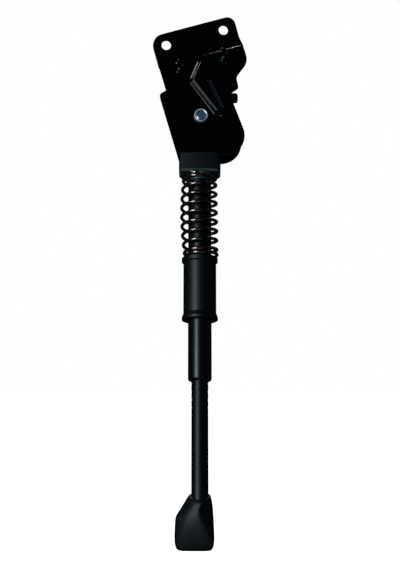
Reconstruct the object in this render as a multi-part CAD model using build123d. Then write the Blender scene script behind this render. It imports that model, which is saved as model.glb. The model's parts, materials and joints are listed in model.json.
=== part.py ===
from build123d import *
import math
import os

# Bicycle kickstand: a folded bracket, a leg that turns on a rivet, and a spring round the leg.
# Row frame: origin midway between the two bolt holes on the mounting face, +X to the right and +Y away
# from someone who faces the bracket, +Z up. Millimetres and degrees.
# Every piece is drawn in the leg's frame: zero on the pivot, the leg along -Z, the pivot's axis along Y.

# Mounting plate
HOLE_SPACING = 40.0
HOLE_DIAMETER = 6.5
HOLE_LINE_TILT = 15.5
PLATE_HALF_WIDTH = 29.0
PLATE_ABOVE_HOLES = 8.0
PLATE_BELOW_HOLES = 13.0
PLATE_LEFT_CORNER = 8.0
PLATE_RIGHT_CORNER = 5.8

# Folded housing
SHEET = 3.0
LEG_GAP = 10.0
SPLAY_BEND = 15.0
CREASE_RADIUS = 2.4
LEG_LEAN = 16.0
PIVOT_OFFSET = -11.2
PIVOT_DROP = 41.5
SIDE_WALL = -22.1
PAST_FOLD = -40.0
FREE_EDGE = -17.4
WALL_RIGHT = 41.3
FOLD_TOP = 23.9
FOLD_RADIUS = 5.6
WALL_BOTTOM = -26.3
FOLD_BOTTOM = -28.4
NOSE_RADIUS = 14.0
NOSE_SKEW = -2.0
SHOULDER_BOTTOM = 29.5
SHOULDER_ROUND = 9.0
FLARE_HEIGHT = 5.6
FLARE_ROUND = 6.0
EDGE_ROUND = 0.5

# Pressed rib and darts
RIB_HEIGHT = 3.0
RIB_TAPER = 36.0
RIB_CORNER = 3.4
RIB_INNER_CORNER = 2.0
RIB_CREST = 1.0
RIB_INSET = 2.6
RIB_RECESS = 2.0
DART_OFFSET = 15.45
DART_DROP = 3.8
DART_HALF_LENGTH = 6.0
DART_RADIUS = 3.4
DART_SUNK = 1.7
DART_ROOT = 1.2
PRESS_ROOT = 1.5

# Pivot
RIVET_RADIUS = 4.0
RIVET_HEAD_RADIUS = 4.85
RIVET_HEAD_HEIGHT = 2.2
RIVET_HEAD_CHAMFER = 1.7
RIVET_TAIL_RADIUS = 5.6
RIVET_TAIL_HEIGHT = 2.4
RIVET_TAIL_ROUND = 1.9
SEAT_CLEARANCE = 0.05
RUNNING_CLEARANCE = 0.1
SIDE_CLEARANCE = 0.3

# Leg, whose axis passes a little left of the rivet
LEG_X = -0.95
EYE_RADIUS = 10.0
EYE_SHOULDER = 8.0
EYE_SHOULDER_TOP = 6.0
SHANK_HALF_WIDTH = 9.0
SHANK_TOP = -19.0
SHANK_BOTTOM = -29.0
SHANK_CORNER = 2.0
NECK_RADIUS = 7.4
SPIGOT_END = -58.0
TUBE_RADIUS = 7.6
TUBE_BORE = 5.5
TUBE_TOP = -35.8
TUBE_END = -177.6
TUBE_ROUND = 1.9
ROD_RADIUS = 5.4
ROD_TOP = -84.0
ROD_END = -272.0
GROOVE_PITCH = 5.1
GROOVE_LOWEST = -194.4
GROOVE_COUNT = 21
LOCKED_GROOVE = 15
GROOVE_DEPTH = 0.25
GROOVE_WIDTH = 0.9

# Slider block
BLOCK_HALF_WIDTH = 13.75
BLOCK_TOP = -26.3
BLOCK_BOTTOM = -38.7
BLOCK_CORNER = 3.0
BLOCK_EDGE = 1.0
BLOCK_BULGE = 1.2
LIP = 1.8
POCKET_RADIUS = 34.6
HUB_RADIUS = 9.1
HUB_LENGTH = 5.0

# Spring and sleeve
WIRE = 2.2
COIL_MIDDLE_RADIUS = 11.5
COIL_END_RADIUS = 10.35
COIL_BOW = 0.95
COIL_LOW_SHIFT = 0.9
COIL_HIGH_SHIFT = 0.1
COIL_TURNS = 10.2
COIL_PHASE = 190.0
CLOSED_TURNS = 0.8
EASING_TURNS = 0.7
POINTS_PER_TURN = 16
SLEEVE_TOP = -96.0
SLEEVE_BOTTOM = -137.8
SLEEVE_RADIUS = 10.65
FLANGE_RADIUS = 11.75
TOP_FLANGE = 3.0
TOP_FLANGE_SLOPE = 0.6
LOW_FLANGE = 1.8
LOW_FLANGE_SLOPE = 2.8
FLANGE_ROUND = 0.7
SCREW_RADIUS = 3.0
SCREW_SUNK = 0.2
SCREW_SOCKET = 3.0
SCREW_SOCKET_DEPTH = 2.5

# Foot
FOOT_TOP = -248.0
FOOT_BOTTOM = -283.4
FOOT_LEFT = -15.8
FOOT_RIGHT = 9.2
FOOT_HALF_DEPTH = 9.8
FOOT_COLLAR = 6.4
FOOT_COLLAR_ROUND = 2.0
FOOT_LEFT_SHOULDER = -263.0
FOOT_RIGHT_SHOULDER = -256.0
FOOT_DRAFT = 0.5
FOOT_RIDGE = 1.5
FOOT_SLOPE = 32.0
FOOT_CORNER = 4.0
FOOT_EDGE = 1.8

HALF_DEPTH = LEG_GAP / 2 + SHEET
HEAD_HALF_THICKNESS = LEG_GAP / 2 - SIDE_CLEARANCE
LOCK_Z = GROOVE_LOWEST + GROOVE_PITCH * LOCKED_GROOVE


def spin(x=0.0, y=0.0, z=0.0):
    """A turn about the axes, in degrees."""
    return Location((0, 0, 0), (x, y, z))


plate_frame = Location(
    Plane(
        origin=(0, 0, 0),
        x_dir=(math.cos(math.radians(HOLE_LINE_TILT)), 0, math.sin(math.radians(HOLE_LINE_TILT))),
        z_dir=(0, -1, 0),
    )
)
crease_frame = plate_frame * Location((PIVOT_OFFSET, -PLATE_BELOW_HOLES, SHEET)) * spin(x=-SPLAY_BEND)
leg_frame = crease_frame * Location((0, -PIVOT_DROP, -HALF_DEPTH)) * spin(z=-LEG_LEAN) * spin(x=-90)
plate_in_leg = leg_frame.inverse() * plate_frame


def tilted(along, up):
    """A point given along and across the crease, measured from the pivot, as x and z of the leg's frame."""
    lean = math.radians(LEG_LEAN)
    x = along * math.cos(lean) - up * math.sin(lean)
    z = along * math.sin(lean) + up * math.cos(lean)
    return x, z


def outline(corners):
    """A closed face from corners given as (x, z, corner radius)."""
    points = [(x, z) for x, z, radius in corners]
    radii = [radius for x, z, radius in corners]
    return make_face(FilletPolyline(*points, radius=radii, close=True))


def facing(depth):
    """The drawing plane that faces the viewer at this depth of the leg's frame."""
    return Plane(origin=(0, depth, 0), x_dir=(1, 0, 0), z_dir=(0, -1, 0))


def slab(face, near, far):
    """A face of the x and z plane made solid between two depths."""
    return extrude(facing(far) * face, amount=far - near)


def rod_between(radius, top, bottom):
    """A round bar along the leg's axis between two heights."""
    return Pos(LEG_X, 0, (top + bottom) / 2) * Cylinder(radius, top - bottom)


def cross_bar(radius, near, far, x=0.0, z=0.0):
    """A round bar along the pivot's direction between two depths."""
    return Pos(x, (near + far) / 2, z) * spin(x=90) * Cylinder(radius, far - near)


def front_outline():
    """The front wall: free edge, crease, shoulder, bay, tooth, flank, nose and lower edge."""
    corners = [
        (*tilted(PAST_FOLD, FOLD_TOP), 0.0),
        (*tilted(FREE_EDGE, FOLD_TOP), 1.0),
        (*tilted(FREE_EDGE, PIVOT_DROP), 0.0),
        (*tilted(WALL_RIGHT, PIVOT_DROP), 0.0),
        (*tilted(WALL_RIGHT, SHOULDER_BOTTOM), SHOULDER_ROUND),
        (23.4, 28.5, 6.0),
        (25.0, 20.7, 1.2),
        (20.5, 17.3, 0.8),
        (21.6, 9.0, 5.0),
        (34.5, WALL_BOTTOM, NOSE_RADIUS),
        (-7.0, FOLD_BOTTOM, 30.0),
        (PAST_FOLD, FOLD_BOTTOM, 0.0),
    ]
    return outline(corners)


def back_outline():
    """The back wall: it ends at the fold's top, with a blunt tooth, its nose a little further left."""
    corners = [
        (*tilted(PAST_FOLD, FOLD_TOP), 0.0),
        (*tilted(SIDE_WALL, FOLD_TOP), 0.0),
        (24.9, 22.3, 2.2),
        (24.9, 15.5, 1.4),
        (20.6, 15.3, 0.8),
        (21.6 + NOSE_SKEW, 9.0, 4.0),
        (34.7 + NOSE_SKEW, FOLD_BOTTOM, NOSE_RADIUS),
        (PAST_FOLD, FOLD_BOTTOM, 0.0),
    ]
    return outline(corners)


def rib_outline():
    """The boomerang rib's foot on the front wall."""
    corners = [
        (-1.9, 40.6, RIB_CORNER),
        (-8.4, 25.0, RIB_CORNER),
        (10.6, -1.6, RIB_CORNER),
        (16.2, 3.8, RIB_CORNER),
        (6.1, 26.4, RIB_INNER_CORNER),
        (10.4, 41.6, RIB_CORNER),
    ]
    return outline(corners)


def cut_edges(walls):
    """The walls' punched edges, without the fold on the left and the crease at the top."""
    lean = math.radians(LEG_LEAN)
    found = ShapeList()
    for edge in walls.edges():
        middle = edge.center()
        along = middle.X * math.cos(lean) + middle.Z * math.sin(lean)
        up = middle.Z * math.cos(lean) - middle.X * math.sin(lean)
        lies_flat = edge.bounding_box().size.Y < EDGE_ROUND
        past_fold = along > SIDE_WALL + FOLD_RADIUS + EDGE_ROUND
        if lies_flat and past_fold and up < PIVOT_DROP - EDGE_ROUND:
            found.append(edge)
    return found


def folded_walls():
    """Front wall, side wall and back wall, bent from one strip round the left side."""
    length = 2 * PIVOT_DROP
    reach = 2.5 * WALL_RIGHT
    outer = Pos(SIDE_WALL + reach / 2, 0, PIVOT_DROP - length / 2) * Box(reach, 2 * HALF_DEPTH, length)
    outer = fillet(outer.edges().filter_by(Axis.Z).group_by(Axis.X)[0], FOLD_RADIUS)
    inner = Pos(SIDE_WALL + SHEET + reach / 2, 0, PIVOT_DROP - length / 2) * Box(reach, LEG_GAP, 2 * length)
    inner = fillet(inner.edges().filter_by(Axis.Z).group_by(Axis.X)[0], FOLD_RADIUS - SHEET)
    strip = spin(y=-LEG_LEAN) * (outer - inner)
    front = strip & slab(front_outline(), -2 * HALF_DEPTH, 0)
    back = strip & slab(back_outline(), 0, 2 * HALF_DEPTH)
    walls = front + back
    return fillet(cut_edges(walls), EDGE_ROUND)


def mounting_plate():
    """The flat plate with its two bolt holes, and the outside of the bend under it."""
    corners = [
        (-PLATE_HALF_WIDTH, -PLATE_BELOW_HOLES, 0.0),
        (PLATE_HALF_WIDTH, -PLATE_BELOW_HOLES, 0.0),
        (PLATE_HALF_WIDTH, PLATE_ABOVE_HOLES, PLATE_RIGHT_CORNER),
        (-PLATE_HALF_WIDTH, PLATE_ABOVE_HOLES, PLATE_LEFT_CORNER),
    ]
    plate = extrude(outline(corners), amount=SHEET)
    flat_edges = plate.edges().filter_by(lambda edge: edge.bounding_box().size.Z < EDGE_ROUND)
    plate = fillet(flat_edges.filter_by(lambda edge: edge.center().Y > -PLATE_BELOW_HOLES / 2), EDGE_ROUND)
    return plate_in_leg * (plate + bend_wedge(-PLATE_HALF_WIDTH, PLATE_HALF_WIDTH))


def bend_wedge(left, right):
    """The outside of the bend between the plate and the wall, from left to right along the crease."""
    bend = math.radians(SPLAY_BEND)
    wedge = make_face(
        Polyline(
            (-PLATE_BELOW_HOLES, SHEET),
            (-PLATE_BELOW_HOLES, 0),
            (-PLATE_BELOW_HOLES - SHEET * math.sin(bend), SHEET - SHEET * math.cos(bend)),
            close=True,
        )
    )
    across = Plane(origin=(left, 0, 0), x_dir=(0, 1, 0), z_dir=(1, 0, 0))
    return extrude(across * wedge, amount=right - left)


def plate_flare():
    """The plate's right edge widens just above the crease to meet the wall's shoulder."""
    inside = PLATE_HALF_WIDTH - 2 * EDGE_ROUND
    flared = WALL_RIGHT + PIVOT_OFFSET
    corners = [
        (inside, -PLATE_BELOW_HOLES, 0.0),
        (flared, -PLATE_BELOW_HOLES, 0.0),
        (PLATE_HALF_WIDTH, FLARE_HEIGHT - PLATE_BELOW_HOLES, FLARE_ROUND),
        (PLATE_HALF_WIDTH - EDGE_ROUND, 2 * FLARE_HEIGHT - PLATE_BELOW_HOLES, 0.0),
        (inside, 2 * FLARE_HEIGHT - PLATE_BELOW_HOLES, 0.0),
    ]
    flare = extrude(outline(corners), amount=SHEET) + bend_wedge(inside, flared)
    return plate_in_leg * flare


def add_darts(bracket):
    """Two long oval gussets pressed across the crease: half an ellipse spun about its length."""
    rim = EllipticalCenterArc((0, 0), DART_HALF_LENGTH, DART_RADIUS, start_angle=0, arc_size=180)
    oval = revolve(make_face([rim, Line(rim @ 1, rim @ 0)]), Axis.X)
    up_x, up_z = tilted(0, 1)
    for side in (-1, 1):
        x, z = tilted(-PIVOT_OFFSET + side * DART_OFFSET, PIVOT_DROP - DART_DROP)
        seat = Plane(origin=(x, DART_SUNK - HALF_DEPTH, z), x_dir=(up_x, 0, up_z), z_dir=(0, -1, 0))
        in_front = Pos(x, z) * Rectangle(3 * DART_HALF_LENGTH, 3 * DART_HALF_LENGTH)
        bracket += (Location(seat) * oval) & slab(in_front, -2 * HALF_DEPTH, SHEET / 2 - HALF_DEPTH)
    roots = ShapeList()
    for oval_face in bracket.faces().filter_by(GeomType.REVOLUTION):
        roots += oval_face.outer_wire().edges()
    return fillet(roots, DART_ROOT)


def add_rib(bracket):
    """The pressed boomerang: a rounded crest and a blended root in front, a shallow recess behind."""
    root = SHEET / 6
    rib_foot = facing(root - HALF_DEPTH) * rib_outline()
    rib = extrude(rib_foot, amount=RIB_HEIGHT + root, taper=RIB_TAPER)
    bracket += fillet(rib.edges().group_by(Axis.Y)[0], RIB_CREST)
    in_front = bracket.faces().filter_by(lambda face: abs(face.center().Y + HALF_DEPTH) < EDGE_ROUND)
    wall_face = in_front.filter_by(GeomType.PLANE).sort_by(SortBy.AREA)[-1]
    bracket = fillet(wall_face.inner_wires()[0].edges(), PRESS_ROOT)
    recess = offset(rib_outline(), amount=-RIB_INSET)
    return bracket - extrude(facing(SHEET - HALF_DEPTH) * recess, amount=RIB_RECESS)


def make_bracket():
    """The whole bracket, one folded sheet."""
    bracket = folded_walls() + mounting_plate()
    middle_x, middle_z = tilted(-PIVOT_OFFSET, PIVOT_DROP)
    crease = bracket.edges().sort_by_distance((middle_x, -HALF_DEPTH, middle_z))[0]
    bracket = add_rib(add_darts(fillet(crease, CREASE_RADIUS))) + plate_flare()
    for side in (-1, 1):
        hole = Pos(side * HOLE_SPACING / 2, 0, SHEET / 2) * Cylinder(HOLE_DIAMETER / 2, 4 * SHEET)
        bracket -= plate_in_leg * hole
    bracket -= cross_bar(RIVET_RADIUS + SEAT_CLEARANCE, -2 * HALF_DEPTH, 2 * HALF_DEPTH)
    return bracket


def make_rivet():
    """A shouldered rivet: chamfered flat head in front, peened tail behind."""
    shank = cross_bar(RIVET_RADIUS, -HALF_DEPTH, HALF_DEPTH)
    head = cross_bar(RIVET_HEAD_RADIUS, -HALF_DEPTH - RIVET_HEAD_HEIGHT, -HALF_DEPTH)
    head = chamfer(head.edges().group_by(Axis.Y)[0], RIVET_HEAD_CHAMFER)
    tail = cross_bar(RIVET_TAIL_RADIUS, HALF_DEPTH, HALF_DEPTH + RIVET_TAIL_HEIGHT)
    tail = fillet(tail.edges().group_by(Axis.Y)[-1], RIVET_TAIL_ROUND)
    return shank + head + tail


def make_leg_head():
    """The forged eye between the walls, the shank that widens below it, and the spigot in the tube."""
    reaches = (EYE_SHOULDER, SHANK_HALF_WIDTH, SHANK_HALF_WIDTH)
    profile = list(zip(reaches, (EYE_SHOULDER_TOP, SHANK_TOP, SHANK_BOTTOM)))
    left_side = [(LEG_X - reach, z, SHANK_CORNER) for reach, z in profile]
    right_side = [(LEG_X + reach, z, SHANK_CORNER) for reach, z in reversed(profile)]
    shank = outline(left_side + right_side) + Circle(EYE_RADIUS)
    head = slab(shank, -HEAD_HALF_THICKNESS, HEAD_HALF_THICKNESS)
    neck = rod_between(NECK_RADIUS, SHANK_BOTTOM + SHANK_CORNER, TUBE_TOP)
    neck &= Pos(LEG_X, 0, TUBE_TOP) * Box(4 * NECK_RADIUS, 2 * HEAD_HALF_THICKNESS, 4 * NECK_RADIUS)
    head += neck + rod_between(ROD_RADIUS, TUBE_TOP, SPIGOT_END)
    return head - cross_bar(RIVET_RADIUS + RUNNING_CLEARANCE, -HALF_DEPTH, HALF_DEPTH)


def make_tube():
    """The upper leg, rounded at its lower end and drilled at the back for the lock screw."""
    tube = rod_between(TUBE_RADIUS, TUBE_TOP, TUBE_END)
    tube = fillet(tube.edges().group_by(Axis.Z)[0], TUBE_ROUND)
    tube -= rod_between(TUBE_BORE, TUBE_TOP + 1, TUBE_END - 1)
    return tube - cross_bar(SCREW_RADIUS, 0, 2 * TUBE_RADIUS, LEG_X, LOCK_Z)


def make_rod():
    """The lower leg, with ring grooves that the lock screw can sit in."""
    rod = rod_between(ROD_RADIUS, ROD_TOP, ROD_END)
    rod = chamfer(rod.edges().group_by(Axis.Z)[-1], GROOVE_WIDTH)
    for index in range(GROOVE_COUNT):
        height = GROOVE_LOWEST + index * GROOVE_PITCH
        ring = rod_between(2 * ROD_RADIUS, height + GROOVE_WIDTH / 2, height - GROOVE_WIDTH / 2)
        rod -= ring - rod_between(ROD_RADIUS - GROOVE_DEPTH, height + GROOVE_WIDTH, height - GROOVE_WIDTH)
    return rod


def make_block():
    """The slider: a block on the tube with a bulged front and back, whose lips pass over the walls."""
    half_depth = HALF_DEPTH + SIDE_CLEARANCE + LIP
    side = half_depth - BLOCK_BULGE
    near_left, near_right = (-BLOCK_HALF_WIDTH, -side), (BLOCK_HALF_WIDTH, -side)
    far_left, far_right = (-BLOCK_HALF_WIDTH, side), (BLOCK_HALF_WIDTH, side)
    rim = [
        ThreePointArc(near_left, (0, -half_depth), near_right),
        Line(near_right, far_right),
        ThreePointArc(far_right, (0, half_depth), far_left),
        Line(far_left, near_left),
    ]
    block = Pos(LEG_X, 0, BLOCK_BOTTOM) * extrude(make_face(rim), amount=BLOCK_TOP - BLOCK_BOTTOM)
    block = fillet(block.edges().filter_by(Axis.Z), BLOCK_CORNER)
    block = chamfer(block.edges().group_by(Axis.Z)[0], BLOCK_EDGE)
    pocket = HALF_DEPTH + SIDE_CLEARANCE
    block -= cross_bar(POCKET_RADIUS, -pocket, pocket)
    block += rod_between(HUB_RADIUS, BLOCK_BOTTOM + 1, BLOCK_BOTTOM - HUB_LENGTH)
    return block - rod_between(TUBE_RADIUS + RUNNING_CLEARANCE, 0, 2 * BLOCK_BOTTOM)


def coil_points():
    """Points on the wire's centre line: closed ends, even pitch, a slight barrel that bows to the left."""
    steps = round(COIL_TURNS * POINTS_PER_TURN)
    free = []
    for step in range(steps + 1):
        turn = step / POINTS_PER_TURN
        from_end = min(turn, COIL_TURNS - turn)
        ease = min(max((from_end - CLOSED_TURNS) / EASING_TURNS, 0.0), 1.0)
        free.append(ease * ease * (3 - 2 * ease))
    length = BLOCK_BOTTOM - SLEEVE_TOP - WIRE
    pitch_rise = (length - WIRE * COIL_TURNS) / sum(free[:-1])
    height = SLEEVE_TOP + WIRE / 2
    points = []
    for step in range(steps + 1):
        turn = step / POINTS_PER_TURN
        bulge = math.sin(math.pi * turn / COIL_TURNS)
        radius = COIL_END_RADIUS + (COIL_MIDDLE_RADIUS - COIL_END_RADIUS) * bulge
        angle = 2 * math.pi * turn + math.radians(COIL_PHASE)
        shift = COIL_LOW_SHIFT + (COIL_HIGH_SHIFT - COIL_LOW_SHIFT) * turn / COIL_TURNS
        x = LEG_X + shift - COIL_BOW * bulge + radius * math.cos(angle)
        points.append((x, radius * math.sin(angle), height))
        height += WIRE / POINTS_PER_TURN + pitch_rise * free[step]
    return points


def make_spring():
    """The compression spring, a round wire along the coil's line."""
    path = Spline(*coil_points())
    section = Plane(origin=path @ 0, z_dir=path % 0) * Circle(WIRE / 2)
    return sweep(section, path=path, is_frenet=True)


def make_sleeve():
    """The spool that carries the spring: one turned profile, and the lock screw's hole at the back."""
    bore = TUBE_RADIUS + SEAT_CLEARANCE
    under_top = SLEEVE_TOP - TOP_FLANGE
    over_low = SLEEVE_BOTTOM + LOW_FLANGE
    corners = [
        (bore, SLEEVE_TOP, 0.0),
        (FLANGE_RADIUS, SLEEVE_TOP, FLANGE_ROUND),
        (FLANGE_RADIUS, under_top, FLANGE_ROUND),
        (SLEEVE_RADIUS, under_top - TOP_FLANGE_SLOPE, FLANGE_ROUND),
        (SLEEVE_RADIUS, over_low + LOW_FLANGE_SLOPE, FLANGE_ROUND),
        (FLANGE_RADIUS, over_low, FLANGE_ROUND),
        (FLANGE_RADIUS, SLEEVE_BOTTOM, FLANGE_ROUND),
        (bore, SLEEVE_BOTTOM, 0.0),
    ]
    sleeve = Pos(LEG_X, 0, 0) * revolve(facing(0) * outline(corners), Axis.Z)
    return sleeve - cross_bar(SCREW_RADIUS, 0, 2 * SLEEVE_RADIUS, LEG_X, LOCK_Z)


def make_lock_screw():
    """A set screw with a hexagon socket, from the rod's surface out to the sleeve's."""
    near = ROD_RADIUS + RUNNING_CLEARANCE
    screw = cross_bar(SCREW_RADIUS - SEAT_CLEARANCE, near, SLEEVE_RADIUS - SCREW_SUNK, LEG_X, LOCK_Z)
    mouth = Plane(origin=(LEG_X, SLEEVE_RADIUS, LOCK_Z), x_dir=(1, 0, 0), z_dir=(0, 1, 0))
    socket = RegularPolygon(SCREW_SOCKET / 2, 6, major_radius=False)
    return screw - extrude(mouth * socket, amount=-SCREW_SOCKET_DEPTH)


def make_foot():
    """The rubber boot: a wide toe on the left, a slope up to the rod, a top that falls to the front."""
    corners = [
        (-FOOT_COLLAR, FOOT_TOP, FOOT_COLLAR_ROUND),
        (FOOT_LEFT + FOOT_DRAFT, FOOT_LEFT_SHOULDER, FOOT_CORNER),
        (FOOT_LEFT, FOOT_BOTTOM, FOOT_CORNER),
        (FOOT_RIGHT, FOOT_BOTTOM, FOOT_CORNER),
        (FOOT_RIGHT - FOOT_DRAFT, FOOT_RIGHT_SHOULDER, FOOT_CORNER),
        (FOOT_COLLAR, FOOT_TOP, FOOT_COLLAR_ROUND),
    ]
    foot = Pos(LEG_X, 0, 0) * slab(outline(corners), -FOOT_HALF_DEPTH, FOOT_HALF_DEPTH)
    by_depth = foot.edges().group_by(Axis.Y)
    foot = fillet(by_depth[0] + by_depth[-1], FOOT_EDGE)
    reach = 2 * FOOT_HALF_DEPTH
    low_end = FOOT_TOP - (FOOT_RIDGE + reach) * math.tan(math.radians(FOOT_SLOPE))
    above = Polyline((FOOT_RIDGE, FOOT_TOP), (-reach, low_end), (-reach, 0), (FOOT_RIDGE, 0), close=True)
    side_view = Plane(origin=(2 * FOOT_LEFT, 0, 0), x_dir=(0, 1, 0), z_dir=(1, 0, 0))
    foot -= extrude(side_view * make_face(above), amount=-4 * FOOT_LEFT)
    return foot - rod_between(ROD_RADIUS + SEAT_CLEARANCE, 0, ROD_END)


nodes = {
    "mount_bracket": make_bracket(),
    "pivot_rivet": make_rivet(),
    "leg_head": make_leg_head(),
    "leg_tube": make_tube(),
    "slider_block": make_block(),
    "coil_spring": make_spring(),
    "spring_sleeve": make_sleeve(),
    "lock_screw": make_lock_screw(),
    "leg_rod": make_rod(),
    "rubber_foot": make_foot(),
}

os.makedirs("parts", exist_ok=True)
for name, solid in nodes.items():
    export_step(leg_frame * solid, f"parts/{name}.step")
down = (leg_frame * Location((0, 0, -1))).position - leg_frame.position
pivot_axis = (leg_frame * Location((0, -1, 0))).position - leg_frame.position
print("pivot", leg_frame.position, "leg down", down, "pivot axis", pivot_axis)
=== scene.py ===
# %% [markdown]
# Bicycle kickstand
# A folded steel bracket is bolted to the bicycle by two holes. A leg swings on a rivet between the bracket's
# walls. A spring round the leg presses a block against those walls, and a rod with a rubber foot slides out
# of the leg's tube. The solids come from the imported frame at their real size, and this lesson dresses them.
# Blender's start-up cube, lamp and camera are removed first.

# %% Load the frame
import json
import math

import bmesh
import bpy
import numpy as np
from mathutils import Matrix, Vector

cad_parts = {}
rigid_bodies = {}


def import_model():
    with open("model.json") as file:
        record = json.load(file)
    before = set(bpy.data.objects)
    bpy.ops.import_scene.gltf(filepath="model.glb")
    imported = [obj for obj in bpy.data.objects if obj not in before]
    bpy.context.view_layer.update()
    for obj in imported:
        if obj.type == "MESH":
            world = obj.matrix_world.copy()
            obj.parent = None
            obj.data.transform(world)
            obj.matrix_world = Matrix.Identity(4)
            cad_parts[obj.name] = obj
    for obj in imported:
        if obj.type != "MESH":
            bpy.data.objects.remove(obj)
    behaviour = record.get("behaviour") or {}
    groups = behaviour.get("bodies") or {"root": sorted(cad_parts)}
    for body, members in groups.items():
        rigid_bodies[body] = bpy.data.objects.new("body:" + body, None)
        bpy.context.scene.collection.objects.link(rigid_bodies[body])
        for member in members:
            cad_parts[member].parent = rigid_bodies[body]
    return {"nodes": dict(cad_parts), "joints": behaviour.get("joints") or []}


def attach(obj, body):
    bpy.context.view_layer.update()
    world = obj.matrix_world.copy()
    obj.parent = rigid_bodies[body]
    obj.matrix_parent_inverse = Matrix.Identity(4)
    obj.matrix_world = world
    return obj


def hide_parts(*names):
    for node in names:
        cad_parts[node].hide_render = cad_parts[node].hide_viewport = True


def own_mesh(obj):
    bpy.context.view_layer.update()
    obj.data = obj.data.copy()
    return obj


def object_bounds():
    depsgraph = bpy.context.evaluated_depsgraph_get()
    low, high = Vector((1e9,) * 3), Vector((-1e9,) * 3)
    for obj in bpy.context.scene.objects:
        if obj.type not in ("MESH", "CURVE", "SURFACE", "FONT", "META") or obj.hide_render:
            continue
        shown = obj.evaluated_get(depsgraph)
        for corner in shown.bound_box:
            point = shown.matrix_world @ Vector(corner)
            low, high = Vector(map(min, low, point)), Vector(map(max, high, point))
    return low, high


for leftover in list(bpy.data.objects):
    bpy.data.objects.remove(leftover)
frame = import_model()
cad_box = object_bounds()
print("nodes", sorted(frame["nodes"]))
print("box in metres", [round(value, 4) for corner in cad_box for value in corner])

# %% [markdown]
# The leg's own directions
# The leg leans towards the viewer and the pivot is not square to the floor, so its pieces are easier to draw
# in the leg's own directions. The frame's joints already hold them: the hinge's axis points at the viewer and
# the sliding axis points down the leg. Taking them from there keeps every new piece on the leg.

# %% Leg axes
MM = 0.001
joints = {joint["name"]: joint for joint in frame["joints"]}
pivot = np.array(joints["leg_fold"]["pos_m"])
to_viewer = np.array(joints["leg_fold"]["axis"])
down_leg = np.array(joints["slider_slide"]["axis"])
leg_axes = np.array([np.cross(-to_viewer, -down_leg), -to_viewer, -down_leg])


def leg_to_row(points):
    """Points in millimetres right, away and up from the pivot become metres of the shared frame."""
    return pivot + (np.asarray(points) * MM) @ leg_axes


print("pivot", pivot, "leg axes", leg_axes.round(3).tolist())

# %% [markdown]
# From a grid of points to a mesh
# Each new piece is a grid: rows run along it and columns run round it. Whole arrays of corner numbers join
# neighbouring points into quads, so no loop runs over the vertices. Rows that shrink to one point are merged,
# which closes the poles, and the normals are then turned outwards.

# %% Grid helper
MERGE = 1e-7


def grid_piece(name, points, material, body, node):
    """A closed skin over points[row, column], wrapped round the columns, that stands for one solid."""
    rows, columns = points.shape[:2]
    index = np.arange(rows * columns).reshape(rows, columns)
    index = np.concatenate([index, index[:, :1]], axis=1)
    quads = np.stack([index[:-1, :-1], index[:-1, 1:], index[1:, 1:], index[1:, :-1]], axis=-1)
    mesh = bpy.data.meshes.new(name)
    mesh.from_pydata(points.reshape(-1, 3).tolist(), [], quads.reshape(-1, 4).tolist())
    shell = bmesh.new()
    shell.from_mesh(mesh)
    bmesh.ops.remove_doubles(shell, verts=shell.verts, dist=MERGE)
    bmesh.ops.recalc_face_normals(shell, faces=shell.faces)
    shell.to_mesh(mesh)
    shell.free()
    mesh.shade_smooth()
    mesh.materials.append(material)
    piece = bpy.data.objects.new(name, mesh)
    bpy.context.scene.collection.objects.link(piece)
    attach(piece, body)
    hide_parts(node)
    print(name, len(mesh.vertices), "points", len(mesh.polygons), "faces")
    return piece


# %% [markdown]
# The camera
# The plate's two holes look round and its edges look square, so the camera faces the plate. Things get larger
# towards the foot, which gives the distance: about nine tenths of a metre, level, a little to the left. The
# lens follows from the focal length in pixels, since the sensor's long side covers the picture's height.

# %% Camera
PICTURE_HEIGHT = 570
FOCAL_PIXELS = 1300.0
SENSOR = 36.0
EYE_MM = (-59.2, -876.1, -166.6)
HEADING = -4.1
# A camera without any turn looks straight down, and a quarter turn makes it level
LEVEL = 90

camera_data = bpy.data.cameras.new("photo_camera")
camera_data.sensor_width = SENSOR
camera_data.lens = SENSOR * FOCAL_PIXELS / PICTURE_HEIGHT
camera = bpy.data.objects.new("photo_camera", camera_data)
camera.location = Vector(EYE_MM) * MM
camera.rotation_euler = (math.radians(LEVEL), 0, math.radians(HEADING))
bpy.context.scene.collection.objects.link(camera)
bpy.context.scene.camera = camera
print("lens", round(camera_data.lens, 1), "mm")

# %% [markdown]
# Adding nodes and colours
# A finish is a handful of shader nodes. One helper adds a node, sets its properties and fills or links its
# inputs. Colours are written as screen values, because that is how a picture is read, and turned to linear.

# %% Node and colour helpers
def add_node(tree, kind, inputs=None, **settings):
    """Adds one node, sets its properties, and gives each named input a value or a link."""
    made = tree.nodes.new(kind)
    for name, value in settings.items():
        setattr(made, name, value)
    for name, value in (inputs or {}).items():
        if isinstance(value, bpy.types.NodeSocket):
            tree.links.new(value, made.inputs[name])
        else:
            made.inputs[name].default_value = value
    return made


def linear(screen_hex):
    """A screen colour such as 1a2b3c as linear red, green, blue and full cover, by the sRGB curve."""
    screen = np.array([int(screen_hex[start:start + 2], 16) for start in (0, 2, 4)]) / 255
    light = np.where(screen <= 0.04045, screen / 12.92, ((screen + 0.055) / 1.055) ** 2.4)
    return (*light.tolist(), 1.0)


def per_metre(size_mm):
    """A texture scale, in repeats a metre, for features of this size."""
    return 1.0 / (size_mm * MM)


def new_material(name):
    """An empty node material, its node tree, and the object coordinates to draw patterns with."""
    material = bpy.data.materials.new(name)
    material.use_nodes = True
    tree = material.node_tree
    tree.nodes.clear()
    place = add_node(tree, "ShaderNodeTexCoord").outputs["Object"]
    return material, tree, place


print("screen grey 808080 is", round(linear("808080")[0], 3), "in linear light")

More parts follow.
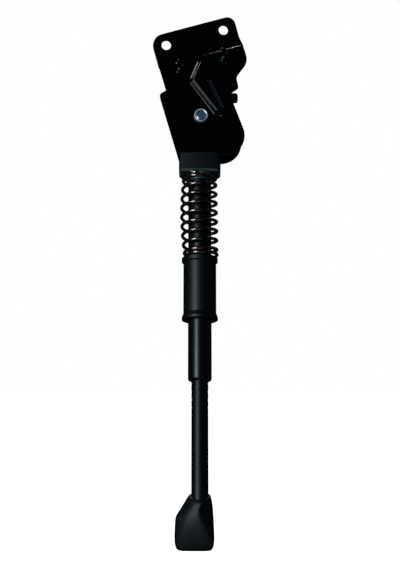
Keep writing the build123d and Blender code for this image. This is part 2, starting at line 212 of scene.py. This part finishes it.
# %% [markdown]
# Floor and background
# The object stands against plain white. The floor is a pale board just below the foot at its longest reach,
# and it glows as a light table does, so that it stays as white as the background. Black paint would mirror
# such a board and some lamps stand below its level, so reflections, bounced light and shadows leave it out.
# The world is white where the camera looks at it and a dim blue grey to everything else, like a dark studio,
# because black paint shows whatever surrounds it.

# %% Floor and world
FLOOR_HALF = 1.5
FLOOR_GLOW = 1.0
FLOOR_DROP = 2 * MM

reach_down = joints["rod_slide"]["range_m"][1] * -down_leg[2]
floor_height = cad_box[0][2] - reach_down - FLOOR_DROP
floor_corners = np.array([(-1, -1), (1, -1), (1, 1), (-1, 1)]) * FLOOR_HALF
floor_points = np.column_stack([floor_corners, np.full(4, floor_height)])
floor_mesh = bpy.data.meshes.new("floor")
floor_mesh.from_pydata(floor_points.tolist(), [], [(0, 1, 2, 3)])
floor = bpy.data.objects.new("floor", floor_mesh)
bpy.context.scene.collection.objects.link(floor)
floor.visible_glossy = False
floor.visible_diffuse = False
floor.visible_shadow = False

floor_board, tree = new_material("pale_board")[:2]
shader = add_node(tree, "ShaderNodeBsdfPrincipled", {
    "Base Color": linear("f2f2f2"),
    "Roughness": 0.8,
    "Emission Color": linear("ffffff"),
    "Emission Strength": FLOOR_GLOW,
})
add_node(tree, "ShaderNodeOutputMaterial", {"Surface": shader.outputs[0]})
floor_mesh.materials.append(floor_board)

world = bpy.data.worlds.new("studio")
bpy.context.scene.world = world
world.use_nodes = True
tree = world.node_tree
tree.nodes.clear()
room = add_node(tree, "ShaderNodeBackground", {"Color": linear("10161c"), "Strength": 1.0})
white = add_node(tree, "ShaderNodeBackground", {"Color": linear("ffffff"), "Strength": 1.0})
seen = add_node(tree, "ShaderNodeLightPath").outputs["Is Camera Ray"]
both = add_node(tree, "ShaderNodeMixShader", {"Fac": seen})
tree.links.new(room.outputs[0], both.inputs[1])
tree.links.new(white.outputs[0], both.inputs[2])
add_node(tree, "ShaderNodeOutputWorld", {"Surface": both.outputs[0]})
bpy.context.scene.view_settings.view_transform = "Standard"
print("floor at", round(floor_height, 4))

# %% [markdown]
# Light
# On the round pieces the bright band lies a third of the radius to the left. A mirror turns a ray by twice
# its own tilt, which puts the main softbox about 40 degrees to the left. It leans, and ends below the
# directions that the bracket's glossy fold mirrors, so that the fold stays black. A faint card low in front
# finds the lower edges, a weak cool fill stands on the right, and a softbox high behind lights the back for
# other views. Area lights serve for all of them, because a softbox is an even, glowing rectangle.

# %% Softboxes
AIM = Vector((0.0, -0.03, -0.16))
ICE_WHITE = "e1faff"
COOL_WHITE = "f4f8ff"
PALE_BLUE = "b8d0ff"
MAIN_PLACE = {"azimuth": 40.5, "elevation": 13, "distance": 1.2, "width": 0.22, "height": 0.46, "lean": 28}


def stand(azimuth, elevation, distance, aim):
    """A place this many degrees left of the front and above the level of aim, and the turn to face aim."""
    turn, rise = math.radians(azimuth), math.radians(elevation)
    out = Vector((-math.sin(turn) * math.cos(rise), -math.cos(turn) * math.cos(rise), math.sin(rise)))
    return aim + out * distance, (-out).to_track_quat("-Z", "Y").to_euler()


def softbox(name, azimuth, elevation, distance, width, height, radiance, screen_hex, lean=0):
    """An evenly bright area light: its power is radiance times pi times its area. Lean tips its top right."""
    data = bpy.data.lights.new(name, "AREA")
    data.shape = "RECTANGLE"
    data.size = width
    data.size_y = height
    data.energy = radiance * math.pi * width * height
    data.color = linear(screen_hex)[:3]
    light = bpy.data.objects.new(name, data)
    light.location, light.rotation_euler = stand(azimuth, elevation, distance, AIM)
    light.rotation_euler.rotate_axis("Z", math.radians(-lean))
    bpy.context.scene.collection.objects.link(light)
    print(name, "at", [round(value, 2) for value in light.location])
    return light


main_light = softbox("main_softbox", radiance=20.0, screen_hex=ICE_WHITE, **MAIN_PLACE)
softbox("low_front_card", azimuth=4, elevation=-52, distance=1.0, width=0.40, height=0.22,
        radiance=0.8, screen_hex=COOL_WHITE)
softbox("cool_fill", azimuth=-95, elevation=10, distance=1.4, width=0.5, height=1.0,
        radiance=0.10, screen_hex=PALE_BLUE)
softbox("back_softbox", azimuth=184, elevation=46, distance=1.5, width=0.6, height=0.5,
        radiance=9.0, screen_hex=COOL_WHITE)

# %% [markdown]
# A net for the bracket
# Gloss paint mirrors the main softbox as hard white lines along the pressed rib, where the real one is an
# even grey. Photographers hang a net in front of a lamp to dim it on one piece of the subject. Light linking
# does the same: the main softbox passes by the bracket, and a dimmer twin in its place lights only that.

# %% Netted softbox
bracket_solid = frame["nodes"]["mount_bracket"]


def link_light(light, link_state):
    """The light shines on the bracket alone with INCLUDE, and on all but the bracket with EXCLUDE."""
    receivers = bpy.data.collections.new(light.name + "_receivers")
    receivers.objects.link(bracket_solid)
    receivers.collection_objects[0].light_linking.link_state = link_state
    light.light_linking.receiver_collection = receivers
    print(light.name, link_state, bracket_solid.name)


netted_light = softbox("netted_softbox", radiance=5.0, screen_hex=ICE_WHITE, **MAIN_PLACE)
link_light(netted_light, "INCLUDE")
link_light(main_light, "EXCLUDE")

# %% [markdown]
# Lamps for small highlights
# A few small places are brighter than the softboxes make them: the right end of the bend under the plate, the
# slopes of the pressed rib, and the top of the foot's front panel. A lamp in a snoot, the narrow tube that
# photographers put on a lamp, lights one such place and nothing else. A spot light does this: its cone is the
# snoot, and its radius is the size of the lamp that the surface mirrors.

# %% Snooted lamps
SNOOT_DISTANCE = 1.3
SNOOT_BLEND = 0.5
BEND_END = (0.027, -0.003, -0.006)
RIB_TOP = leg_to_row((-5.0, -9.5, 33.0))
RIB_FOOT = leg_to_row((1.0, -9.5, 11.0))
RIB_RIGHT = leg_to_row((12.0, -9.5, 14.0))
PANEL_TOP = leg_to_row((-4.5, -9.0, -251.5))


def snooted_lamp(name, aim, azimuth, elevation, cone, radius, radiance, screen_hex):
    """A spot light, cone in degrees: its power is radiance times the square of two pi times its radius."""
    data = bpy.data.lights.new(name, "SPOT")
    data.energy = radiance * (2 * math.pi * radius) ** 2
    data.color = linear(screen_hex)[:3]
    data.spot_size = math.radians(cone)
    data.spot_blend = SNOOT_BLEND
    data.shadow_soft_size = radius
    lamp = bpy.data.objects.new(name, data)
    lamp.location, lamp.rotation_euler = stand(azimuth, elevation, SNOOT_DISTANCE, Vector(aim))
    bpy.context.scene.collection.objects.link(lamp)
    print(name, "at", [round(value, 2) for value in lamp.location])


snooted_lamp("bend_lamp", BEND_END, azimuth=-2.6, elevation=24.8, cone=3.4, radius=0.06,
             radiance=50.0, screen_hex=COOL_WHITE)
snooted_lamp("rib_high_lamp", RIB_TOP, azimuth=82, elevation=48, cone=8.0, radius=0.08,
             radiance=22.0, screen_hex="ffffff")
snooted_lamp("rib_low_lamp", RIB_FOOT, azimuth=94, elevation=-18, cone=11.0, radius=0.11,
             radiance=1.0, screen_hex=COOL_WHITE)
snooted_lamp("foot_lamp", PANEL_TOP, azimuth=38, elevation=46, cone=0.9, radius=0.012,
             radiance=3600.0, screen_hex=COOL_WHITE)
snooted_lamp("rib_right_lamp", RIB_RIGHT, azimuth=-74, elevation=47, cone=8.0, radius=0.08,
             radiance=3.0, screen_hex=PALE_BLUE)

# %% [markdown]
# Gloss black paint
# The bracket is pressed steel, dipped or sprayed and baked to a hard gloss. The colour is almost nothing:
# what the eye sees is the mirror image of the studio, gently broken by orange peel, the ripple that sprayed
# paint keeps when it dries. The ripple could be modelled, but it is only hundredths of a millimetre deep, so
# a smooth shader with a faint, wide bump gives it.

# %% Bracket paint
PEEL_SIZE = 2.4
PEEL_DEPTH = 0.05


def gloss_black_paint():
    """Baked gloss enamel on steel: deep black, sharp reflections, a slow ripple."""
    material, tree, place = new_material("gloss_black_enamel")
    peel = add_node(tree, "ShaderNodeTexNoise", {
        "Vector": place, "Scale": per_metre(PEEL_SIZE), "Detail": 1.0, "Roughness": 0.4,
    })
    bump = add_node(tree, "ShaderNodeBump", {
        "Strength": 0.06, "Distance": PEEL_DEPTH * MM, "Height": peel.outputs[0],
    })
    haze = add_node(tree, "ShaderNodeMapRange", {
        "Value": peel.outputs[0], "To Min": 0.04, "To Max": 0.09,
    })
    shader = add_node(tree, "ShaderNodeBsdfPrincipled", {
        "Base Color": linear("030404"),
        "Roughness": haze.outputs[0],
        "IOR": 1.5,
        "Normal": bump.outputs[0],
    })
    add_node(tree, "ShaderNodeOutputMaterial", {"Surface": shader.outputs[0]})
    return material


bracket_paint = gloss_black_paint()
print("made", bracket_paint.name)

# %% [markdown]
# Black coats
# The tube, the sleeve and the hidden head are coated with black powder that melts and flows in an oven. It
# dries to a fine pebble, so a light on it spreads to a soft band. The rod is phosphated, the block has a
# duller epoxy coat and the screw is oxidised. Each is a thin black skin on steel, so one function makes them
# all, and only gloss and pebble differ. Along the block's lower edge the coat turns to bright bare metal, a
# painted highlight for the line of light that this edge catches. The real pebble is about a third of a
# millimetre and would vanish at this distance, so it is drawn at nearly a millimetre.

# %% Leg coats
PEBBLE_SIZE = 0.8
PEBBLE_DEPTH = 0.03
PATCH_SIZE = 9.6
# Bright steel colour for the painted highlight along the block's lower edge
HIGHLIGHT_STEEL = "888c8e"
# Where the block's painted edge highlight begins, in millimetres up the leg from the pivot, and over what
# length
HIGHLIGHT_EDGE_LEVEL = -37.5
HIGHLIGHT_EDGE_FADE = 0.3


def down_leg_ramp(tree, place, level, length, low=0.0, high=1.0):
    """A value that goes from low at this level to high a length below: it maps place along down_leg."""
    start = float(leg_to_row((0, 0, level)) @ down_leg)
    below = add_node(tree, "ShaderNodeVectorMath", {0: place, 1: tuple(down_leg)}, operation="DOT_PRODUCT")
    ramp = add_node(tree, "ShaderNodeMapRange", {
        "Value": below.outputs["Value"], "From Min": start, "From Max": start + length * MM,
        "To Min": low, "To Max": high,
    })
    return ramp.outputs[0]


def black_coat(name, screen_hex, low, high, strength, specular=0.5, painted_highlight_edge=False):
    """A black skin on steel: a fine pebble, roughness from low to high, a painted highlight on the lower edge
    if asked.
    """
    material, tree, place = new_material(name)
    pebble = add_node(tree, "ShaderNodeTexNoise", {
        "Vector": place, "Scale": per_metre(PEBBLE_SIZE), "Detail": 2.0,
    })
    patches = add_node(tree, "ShaderNodeTexNoise", {
        "Vector": place, "Scale": per_metre(PATCH_SIZE), "Detail": 2.0,
    })
    bump = add_node(tree, "ShaderNodeBump", {
        "Strength": strength, "Distance": PEBBLE_DEPTH * MM, "Height": pebble.outputs[0],
    })
    wander = add_node(tree, "ShaderNodeMapRange", {
        "Value": patches.outputs[0], "To Min": low, "To Max": high,
    })
    shader = add_node(tree, "ShaderNodeBsdfPrincipled", {
        "Base Color": linear(screen_hex),
        "Roughness": wander.outputs[0],
        "Specular IOR Level": specular,
        "Normal": bump.outputs[0],
    })
    # Along the lower edge the coat turns to bright bare metal, a painted highlight for the light that this
    # edge catches
    if painted_highlight_edge:
        edge_highlight = down_leg_ramp(tree, place, HIGHLIGHT_EDGE_LEVEL, HIGHLIGHT_EDGE_FADE)
        tint = add_node(tree, "ShaderNodeValToRGB", {"Fac": edge_highlight})
        tint.color_ramp.elements[0].color = linear(screen_hex)
        tint.color_ramp.elements[1].color = linear(HIGHLIGHT_STEEL)
        tree.links.new(tint.outputs[0], shader.inputs["Base Color"])
        tree.links.new(edge_highlight, shader.inputs["Metallic"])
    add_node(tree, "ShaderNodeOutputMaterial", {"Surface": shader.outputs[0]})
    print("made", name)
    return material


tube_coat = black_coat("semigloss_black_powder_coat", "03070a", low=0.31, high=0.36, strength=0.2)
sleeve_coat = black_coat("satin_black_powder_coat", "03070b", low=0.42, high=0.47, strength=0.3)
rod_coat = black_coat("black_phosphate", "03070a", low=0.42, high=0.47, strength=0.3, specular=0.347)
# The block's lower edge carries the painted highlight
block_coat = black_coat("matt_black_epoxy", "040a0d", low=0.50, high=0.56, strength=0.4, specular=0.291,
                        painted_highlight_edge=True)
screw_coat = black_coat("black_oxide_steel", "141416", low=0.30, high=0.42, strength=0.1)

# %% [markdown]
# Spring wire
# The spring is drawn steel wire, oxidised black and oiled. It could take a coat like the tube's, but thin
# rounds of metal throw much brighter sparks than paint does, so it stays a metal. Oiled oxide is faintly
# brown, which also evens out the blue of the main softbox. The wire's drawing lines are far too fine to show,
# and a slow change of polish stands for them.

# %% Wire steel
POLISH_SIZE = 3.0


def spring_steel():
    """Black oxide on bright wire: a dark metal with small sharp sparks."""
    material, tree, place = new_material("black_oxide_spring_steel")
    mottle = add_node(tree, "ShaderNodeTexNoise", {
        "Vector": place, "Scale": per_metre(POLISH_SIZE), "Detail": 2.0,
    })
    polish = add_node(tree, "ShaderNodeMapRange", {
        "Value": mottle.outputs[0], "To Min": 0.14, "To Max": 0.22,
    })
    shader = add_node(tree, "ShaderNodeBsdfPrincipled", {
        "Base Color": linear("8e807c"),
        "Metallic": 1.0,
        "Roughness": polish.outputs[0],
    })
    add_node(tree, "ShaderNodeOutputMaterial", {"Surface": shader.outputs[0]})
    return material


wire_coat = spring_steel()
print("made", wire_coat.name)

# %% [markdown]
# Zinc plating
# The rivet is turned, then plated with zinc and a clear blue finish. Metal has no colour under its shine, so
# the blue sits in the reflection itself. Fine turning rings run round the axis. They are a tenth of a
# millimetre apart on the real one, and are drawn wider here so that they show. A sine of the distance from
# the axis draws them, which keeps them centred on the pivot. The rim round the flat is rolled over by the
# press, which leaves it duller than the turned flat. Its paler colour is a painted highlight: a bright ring
# round the flat.

# %% Rivet plating
RING_PITCH = 0.45
RING_DEPTH = 0.03
# Radii of the rim, which is duller, and whose paler colour is a painted highlight
RIM_INSIDE = 3.3
RIM_OUTSIDE = 3.7


def zinc_plate():
    """Blue zinc on turned steel: cool reflections and rings round the pivot."""
    material, tree, place = new_material("blue_zinc_plate")
    centred = add_node(tree, "ShaderNodeVectorMath", {0: place, 1: tuple(pivot)}, operation="SUBTRACT")
    off_axis = add_node(tree, "ShaderNodeVectorMath", {0: centred.outputs[0], 1: tuple(to_viewer)},
                        operation="CROSS_PRODUCT")
    radius = add_node(tree, "ShaderNodeVectorMath", {0: off_axis.outputs[0]}, operation="LENGTH")
    rings = add_node(tree, "ShaderNodeMath", {
        0: radius.outputs["Value"], 1: 2 * math.pi * per_metre(RING_PITCH),
    }, operation="MULTIPLY")
    wave = add_node(tree, "ShaderNodeMath", {0: rings.outputs[0]}, operation="SINE")
    bump = add_node(tree, "ShaderNodeBump", {
        "Strength": 0.04, "Distance": RING_DEPTH * MM, "Height": wave.outputs[0],
    })
    rim = add_node(tree, "ShaderNodeMapRange", {
        "Value": radius.outputs["Value"], "From Min": RIM_INSIDE * MM, "From Max": RIM_OUTSIDE * MM,
    })
    polish = add_node(tree, "ShaderNodeMapRange", {
        "Value": rim.outputs[0], "To Min": 0.24, "To Max": 0.50,
    })
    # The paler rim colour is a painted highlight, a bright ring round the flat
    tint = add_node(tree, "ShaderNodeValToRGB", {"Fac": rim.outputs[0]})
    tint.color_ramp.elements[0].color = linear("9db8de")
    tint.color_ramp.elements[1].color = linear("e6eef6")
    shader = add_node(tree, "ShaderNodeBsdfPrincipled", {
        "Base Color": tint.outputs[0],
        "Metallic": 1.0,
        "Roughness": polish.outputs[0],
        "Normal": bump.outputs[0],
    })
    add_node(tree, "ShaderNodeOutputMaterial", {"Surface": shader.outputs[0]})
    return material


rivet_plate = zinc_plate()
print("made", rivet_plate.name)

# %% [markdown]
# Moulded rubber
# The foot is black rubber from a steel mould, so it is matt and has the mould's grain, drawn here at nearly a
# millimetre because the real one is too fine to show. Rubber also has shallow dents and scuffs. One slow
# noise gives both, so that what stands proud is greyer. The ground wears the foot duller towards the sole.

# %% Foot rubber
GRAIN_SIZE = 0.9
GRAIN_DEPTH = 0.06
DENT_SIZE = 4.5
DENT_DEPTH = 0.3
# Where the wear begins, in millimetres up the leg from the pivot, and over what length it grows
WEAR_START = -262.0
WEAR_LENGTH = 16.0


def moulded_rubber():
    """Matt black rubber: a fine grain, a soft wide sheen and faint grey patches."""
    material, tree, place = new_material("moulded_black_rubber")
    grain = add_node(tree, "ShaderNodeTexNoise", {
        "Vector": place, "Scale": per_metre(GRAIN_SIZE), "Detail": 3.0,
    })
    scuff = add_node(tree, "ShaderNodeTexNoise", {
        "Vector": place, "Scale": per_metre(DENT_SIZE), "Detail": 3.0,
    })
    dents = add_node(tree, "ShaderNodeBump", {
        "Strength": 1.0, "Distance": DENT_DEPTH * MM, "Height": scuff.outputs[0],
    })
    bump = add_node(tree, "ShaderNodeBump", {
        "Strength": 0.35, "Distance": GRAIN_DEPTH * MM, "Height": grain.outputs[0],
        "Normal": dents.outputs[0],
    })
    tone = add_node(tree, "ShaderNodeValToRGB", {"Fac": scuff.outputs[0]})
    tone.color_ramp.elements[0].position = 0.35
    tone.color_ramp.elements[0].color = linear("030709")
    tone.color_ramp.elements[1].position = 0.75
    tone.color_ramp.elements[1].color = linear("070c0e")
    shader = add_node(tree, "ShaderNodeBsdfPrincipled", {
        "Base Color": tone.outputs[0],
        "Roughness": down_leg_ramp(tree, place, WEAR_START, WEAR_LENGTH, low=0.48, high=0.78),
        "IOR": 1.4,
        "Normal": bump.outputs[0],
    })
    add_node(tree, "ShaderNodeOutputMaterial", {"Surface": shader.outputs[0]})
    return material


foot_rubber = moulded_rubber()
print("made", foot_rubber.name)

# %% [markdown]
# Dressing the solids
# The bracket, block, sleeve, tube, rod, head and screw have their true shape in the solids, so they keep it
# and only take their finish.

# %% Finishes on solids
finishes = {
    "mount_bracket": bracket_paint,
    "leg_head": tube_coat,
    "leg_tube": tube_coat,
    "spring_sleeve": sleeve_coat,
    "leg_rod": rod_coat,
    "slider_block": block_coat,
    "lock_screw": screw_coat,
}
for name, material in finishes.items():
    mesh = frame["nodes"][name].data
    mesh.materials.clear()
    mesh.materials.append(material)
    print(name, "wears", material.name)

# %% [markdown]
# The spring
# The spring is one wire wound round the leg, with its last turns laid close at both ends and a slight belly
# in the middle. It could be a curve with a bevel, but a tube worked out from the helix has even rings. A
# circle is carried along the helix on two directions square to the wire: outwards from the leg, and across.

# %% Coil spring
# Lengths in millimetres, heights up the leg from the pivot, shifts to the right
LEG_AXIS = -0.95
WIRE = 2.2
COIL_TOP = -38.7
COIL_BOTTOM = -96.0
MIDDLE_RADIUS = 11.5
END_RADIUS = 10.35
BOW = 0.95
LOW_SHIFT = 0.9
HIGH_SHIFT = 0.1
TURNS = 10.2
START_ANGLE = math.radians(190)
CLOSED_TURNS = 0.8
EASING_TURNS = 0.7
STEPS_A_TURN = 48
WIRE_SIDES = 16


def coil_line():
    """The wire's centre: a helix, its radius on half a sine wave, bowed left, its pitch eased at the ends."""
    turn = np.linspace(0, TURNS, round(TURNS * STEPS_A_TURN) + 1)
    from_end = np.minimum(turn, TURNS - turn)
    ease = np.clip((from_end - CLOSED_TURNS) / EASING_TURNS, 0, 1)
    ease = ease * ease * (3 - 2 * ease)
    spare = COIL_TOP - COIL_BOTTOM - WIRE - WIRE * TURNS
    rise = WIRE * np.diff(turn) + spare * ease[:-1] / ease[:-1].sum()
    height = COIL_BOTTOM + WIRE / 2 + np.concatenate([[0], np.cumsum(rise)])
    belly = np.sin(np.pi * turn / TURNS)
    radius = END_RADIUS + (MIDDLE_RADIUS - END_RADIUS) * belly
    angle = 2 * np.pi * turn + START_ANGLE
    middle = LEG_AXIS + LOW_SHIFT + (HIGH_SHIFT - LOW_SHIFT) * turn / TURNS - BOW * belly
    return np.column_stack([middle + radius * np.cos(angle), radius * np.sin(angle), height])


def wire_skin(line):
    """Rings round the line: its radius times a cosine outwards and a sine across, closed by end points."""
    along = np.gradient(line, axis=0)
    along /= np.linalg.norm(along, axis=1, keepdims=True)
    across = np.cross(along, (line - (LEG_AXIS, 0, 0)) * (1, 1, 0))
    across /= np.linalg.norm(across, axis=1, keepdims=True)
    outward = np.cross(across, along)
    turn = np.linspace(0, 2 * np.pi, WIRE_SIDES, endpoint=False)[:, None]
    ring = np.cos(turn) * outward[:, None] + np.sin(turn) * across[:, None]
    ends = np.repeat(line[[0, -1], None], WIRE_SIDES, axis=1)
    return np.concatenate([ends[:1], line[:, None] + WIRE / 2 * ring, ends[1:]])


skin = leg_to_row(wire_skin(coil_line()))
spring = grid_piece("coil_spring_wire", skin, wire_coat, "leg", "coil_spring")
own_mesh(spring)

# %% [markdown]
# The rubber foot
# The boot is moulded in one piece: a collar round the rod, a slope out to a wide toe on the left, straight
# sides and a flat sole. Its front is a panel between two ridges that run down from the collar and spread
# towards the sole. So each level is a section with eight corners, four in front and the same four mirrored
# behind. Every corner is given as two points a little apart, and a subdivision surface rounds it by as much.

# %% Rubber foot
# The collar's top falls at 32 degrees in front of a ridge at this depth
COLLAR_FALL = math.tan(math.radians(32))
COLLAR_RIDGE = 1.5
# No corner's points move further than this share of an edge
LARGEST_STEP = 0.4
ROUNDING_LEVELS = 3
# Level, left, right, left ridge, right ridge, their depths, depths of both sides, softness, slant
FOOT_LEVELS = np.array([
    (-252.0, -5.4, 5.4, -2.2, 2.2, 5.4, 5.4, 2.2, 2.2, 1.4, 1.0),
    (-248.6, -5.4, 5.4, -2.2, 2.2, 5.4, 5.4, 2.2, 2.2, 1.4, 1.0),
    (-248.0, -6.2, 6.1, -2.5, 2.3, 5.9, 5.9, 2.4, 2.4, 1.4, 1.0),
    (-248.5, -6.9, 6.7, -3.4, 2.0, 7.0, 8.9, 2.6, 2.6, 1.0, 1.0),
    (-252.3, -9.2, 7.7, -4.8, 0.8, 7.1, 9.0, 2.4, 2.8, 0.9, 0.7),
    (-257.2, -12.0, 8.2, -6.2, -0.2, 7.2, 9.1, 2.2, 3.2, 0.9, 0.3),
    (-262.1, -15.1, 8.5, -7.6, -0.2, 7.3, 9.4, 2.0, 3.8, 0.9, 0.0),
    (-264.2, -15.4, 8.6, -8.2, 0.6, 7.4, 9.5, 2.0, 4.2, 1.1, 0.0),
    (-270.0, -15.7, 8.9, -10.4, 3.4, 7.8, 9.7, 2.4, 5.4, 1.8, 0.0),
    (-277.0, -15.9, 9.2, -12.6, 6.2, 8.2, 9.8, 3.2, 7.0, 2.0, 0.0),
    (-280.6, -15.3, 8.6, -12.6, 6.2, 8.2, 9.6, 3.4, 7.2, 2.0, 0.0),
    (-282.6, -14.3, 7.7, -11.9, 5.5, 7.6, 8.7, 3.2, 6.6, 1.6, 0.0),
    (-283.4, -12.8, 6.2, -10.6, 4.2, 6.6, 7.4, 2.8, 5.6, 1.2, 0.0),
    (-283.4, -6.0, 0.0, -5.0, -1.0, 3.0, 3.0, 1.6, 2.0, 0.6, 0.0),
    (-283.4, -3.0, -3.0, -3.0, -3.0, 0.0, 0.0, 0.0, 0.0, 0.0, 0.0),
])


def foot_skin():
    """Rings of sixteen points: each corner moved towards the next and the last by the level's softness."""
    level, left, right, ridge_left, ridge_right, near, far, toe, heel, soft, slant = FOOT_LEVELS.T
    corner_x = np.stack([ridge_right, ridge_left, left, left, ridge_left, ridge_right, right, right], axis=1)
    corner_y = np.stack([-far, -near, -toe, toe, near, far, heel, -heel], axis=1)
    corner = np.stack([corner_x, corner_y], axis=-1)
    step = np.roll(corner, -1, axis=1) - corner
    length = np.maximum(np.linalg.norm(step, axis=-1, keepdims=True), MERGE)
    step *= np.minimum(soft[:, None, None] / length, LARGEST_STEP)
    back_step = np.roll(step, 1, axis=1)
    pairs = np.stack([corner - back_step, corner + step], axis=2).reshape(len(level), -1, 2)
    x, y = pairs[..., 0], pairs[..., 1]
    z = level[:, None] + slant[:, None] * COLLAR_FALL * np.minimum(y - COLLAR_RIDGE, 0)
    return np.stack([x + LEG_AXIS, y, z], axis=-1)


foot = grid_piece("moulded_foot", leg_to_row(foot_skin()), foot_rubber, "rod", "rubber_foot")
soften = foot.modifiers.new("soft_edges", "SUBSURF")
soften.levels = ROUNDING_LEVELS
soften.render_levels = ROUNDING_LEVELS

# %% [markdown]
# The rivet
# The rivet is a pin through both walls. Its head has a turned flat, a groove round that and a rim rolled over
# by the press, and its tail is hammered to a low dome behind. A cylinder with bevels would have no groove, so
# it is a surface of revolution: a profile of radius against depth, spun round the pivot.

# %% Pivot rivet
RIVET_SIDES = 64
SHARP_ANGLE = 45
# The walls' outer faces stand this far in front of the pivot's middle and behind it
WALL_FACE = 8.0
# Radius from the pivot and height above the front wall, from the head's middle to the shank
HEAD_PROFILE = np.array([
    (0.0, 2.0), (2.6, 2.0), (2.9, 2.0), (3.1, 1.85), (3.3, 1.75), (3.5, 1.85), (3.7, 2.05), (4.0, 2.15),
    (4.3, 2.05), (4.6, 1.75), (4.8, 1.3), (4.85, 0.9), (4.85, 0.0), (4.0, 0.0),
])
# Radius from the pivot and height above the back wall, from the shank to the tail's middle
TAIL_PROFILE = np.array([
    (4.0, 0.0), (5.6, 0.0), (5.6, 0.5), (5.3, 1.2), (4.5, 1.9), (3.0, 2.3), (0.0, 2.4),
])


def spun(profile, sides):
    """A profile turned round the pivot: radius times cosine to the right, radius times sine up."""
    radius, depth = profile.T[:, :, None]
    turn = np.linspace(0, 2 * np.pi, sides, endpoint=False)[None]
    return np.stack([radius * np.cos(turn), depth + 0 * turn, radius * np.sin(turn)], axis=-1)


rivet_profile = np.concatenate([HEAD_PROFILE * (1, -1) - (0, WALL_FACE), TAIL_PROFILE + (0, WALL_FACE)])
rivet = grid_piece("zinc_rivet", leg_to_row(spun(rivet_profile, RIVET_SIDES)), rivet_plate, "bracket",
                   "pivot_rivet")
rivet.data.set_sharp_from_angle(angle=math.radians(SHARP_ANGLE))
